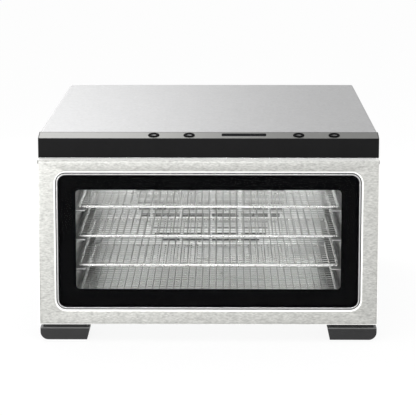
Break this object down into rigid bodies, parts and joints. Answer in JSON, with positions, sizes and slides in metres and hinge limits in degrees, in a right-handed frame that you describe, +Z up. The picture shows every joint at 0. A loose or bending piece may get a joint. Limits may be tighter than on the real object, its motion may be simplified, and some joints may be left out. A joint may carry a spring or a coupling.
{
  "type": "food dehydrator",
  "caption": "Countertop food dehydrator: brushed steel cabinet on feet, drop-down glass door, wire trays on side rails, sloping control strip, rear fan and ring heater.",
  "frame": {"origin": "centre of the overall box, on the surface that the feet stand on", "axes": "+Z up, -Y towards the user (the door and the control strip face -Y), +X to the right of someone facing the door"},
  "size_m": [0.34, 0.45, 0.209],
  "materials": {
    "cover_steel": "brushed left to right",
    "strip_steel": "brushed left to right",
    "door_steel": "brushed, fine hairline",
    "inner_steel": "satin",
    "rail_steel": "dull, heat-darkened",
    "galvanised_steel": "galvanised",
    "plain_steel": "machined",
    "trim_chrome": "polished",
    "tray_chrome": "polished",
    "button_steel": "satin cap in a black ring",
    "fascia_black": "satin",
    "foot_black": "matt",
    "inlet_black": "satin",
    "door_glass_clear": "clear, polished",
    "border_black": "black enamel",
    "display_smoke": "smoked, glossy",
    "display_body": "matt",
    "board_green": "lacquered",
    "board_parts": "moulded",
    "gasket_grey": "silicone, matt",
    "magnet_dark": "ferrite",
    "fan_aluminium": "pressed sheet",
    "rotor_steel": "laminated",
    "coil_winding": "enamelled winding",
    "bush_brass": "plain",
    "heater_sheath": "oxidised sheath",
    "cutout_ceramic": "unglazed",
    "harness_sleeve": "sleeved cable"
  },
  "bodies": {
    "root": {"outer_cover": "cover_steel", "base_plate": "galvanised_steel", "front_frame": "inner_steel", "rear_panel": "galvanised_steel", "rear_screws": "plain_steel", "foot_front_left": "foot_black", "foot_front_right": "foot_black", "foot_rear_left": "foot_black", "foot_rear_right": "foot_black", "foot_screws": "plain_steel", "control_fascia": "fascia_black", "control_strip": "strip_steel", "display_window": "display_smoke", "display_module": "display_body", "control_board": "board_green", "button_switches": "inlet_black", "hinge_arms": "plain_steel", "strike_plates": "plain_steel", "cavity_side_left": "inner_steel", "cavity_side_right": "inner_steel", "cavity_floor": "inner_steel", "cavity_ceiling": "inner_steel", "floor_supports": "galvanised_steel", "cavity_back_grille": "inner_steel", "tray_rails": "rail_steel", "fan_chamber_wall": "galvanised_steel", "motor_core": "rotor_steel", "motor_coil": "coil_winding", "motor_bracket_front": "galvanised_steel", "motor_bracket_rear": "galvanised_steel", "motor_bushes": "bush_brass", "motor_screws": "plain_steel", "heating_element": "heater_sheath", "heater_clips": "galvanised_steel", "thermal_cutout": "cutout_ceramic", "temperature_probe": "inner_steel", "power_inlet": "inlet_black", "inlet_pins": "bush_brass", "power_board": "board_green", "power_board_parts": "board_parts", "wiring_harness": "harness_sleeve"},
    "door": {"door_skin": "door_steel", "door_trim_ring": "trim_chrome", "door_glass": "door_glass_clear", "door_glass_border": "border_black", "door_back_frame": "fascia_black", "door_gasket": "gasket_grey", "door_magnets": "magnet_dark", "hinge_pins": "plain_steel"},
    "fan": {"fan_wheel": "fan_aluminium", "fan_shaft": "plain_steel", "motor_rotor": "rotor_steel"},
    "tray_1": {"tray_1": "tray_chrome"},
    "tray_2": {"tray_2": "tray_chrome"},
    "tray_3": {"tray_3": "tray_chrome"},
    "tray_4": {"tray_4": "tray_chrome"},
    "button_1": {"button_1": "button_steel"},
    "button_2": {"button_2": "button_steel"},
    "button_3": {"button_3": "button_steel"},
    "button_4": {"button_4": "button_steel"}
  },
  "joints": [
    {"name": "door_hinge", "type": "hinge", "parent": "root", "child": "door", "pos_m": [0, -0.2186, 0.025], "axis": [1, 0, 0], "range_deg": [0, 90]},
    {"name": "tray_1_slide", "type": "slide", "parent": "root", "child": "tray_1", "axis": [0, -1, 0], "range_m": [0, 0.1885]},
    {"name": "tray_2_slide", "type": "slide", "parent": "root", "child": "tray_2", "axis": [0, -1, 0], "range_m": [0, 0.1414]},
    {"name": "tray_3_slide", "type": "slide", "parent": "root", "child": "tray_3", "axis": [0, -1, 0], "range_m": [0, 0.1022]},
    {"name": "tray_4_slide", "type": "slide", "parent": "root", "child": "tray_4", "axis": [0, -1, 0], "range_m": [0, 0.044]},
    {"name": "fan_spin", "type": "hinge", "parent": "root", "child": "fan", "pos_m": [0, 0.1018, 0.101], "axis": [0, 1, 0], "continuous": true},
    {"name": "button_1_press", "type": "slide", "parent": "root", "child": "button_1", "axis": [0, 0.2169, -0.9762], "range_m": [0, 0.001], "stiffness_N_per_m": 300, "springref_m": -0.002},
    {"name": "button_2_press", "type": "slide", "parent": "root", "child": "button_2", "axis": [0, 0.2169, -0.9762], "range_m": [0, 0.001], "stiffness_N_per_m": 300, "springref_m": -0.002},
    {"name": "button_3_press", "type": "slide", "parent": "root", "child": "button_3", "axis": [0, 0.2169, -0.9762], "range_m": [0, 0.001], "stiffness_N_per_m": 300, "springref_m": -0.002},
    {"name": "button_4_press", "type": "slide", "parent": "root", "child": "button_4", "axis": [0, 0.2169, -0.9762], "range_m": [0, 0.001], "stiffness_N_per_m": 300, "springref_m": -0.002}
  ],
  "couplings": [
    {"joint": "tray_1_slide", "follows": "door_hinge", "m_per_rad": 0.12},
    {"joint": "tray_2_slide", "follows": "door_hinge", "m_per_rad": 0.09},
    {"joint": "tray_3_slide", "follows": "door_hinge", "m_per_rad": 0.065},
    {"joint": "tray_4_slide", "follows": "door_hinge", "m_per_rad": 0.028}
  ]
}
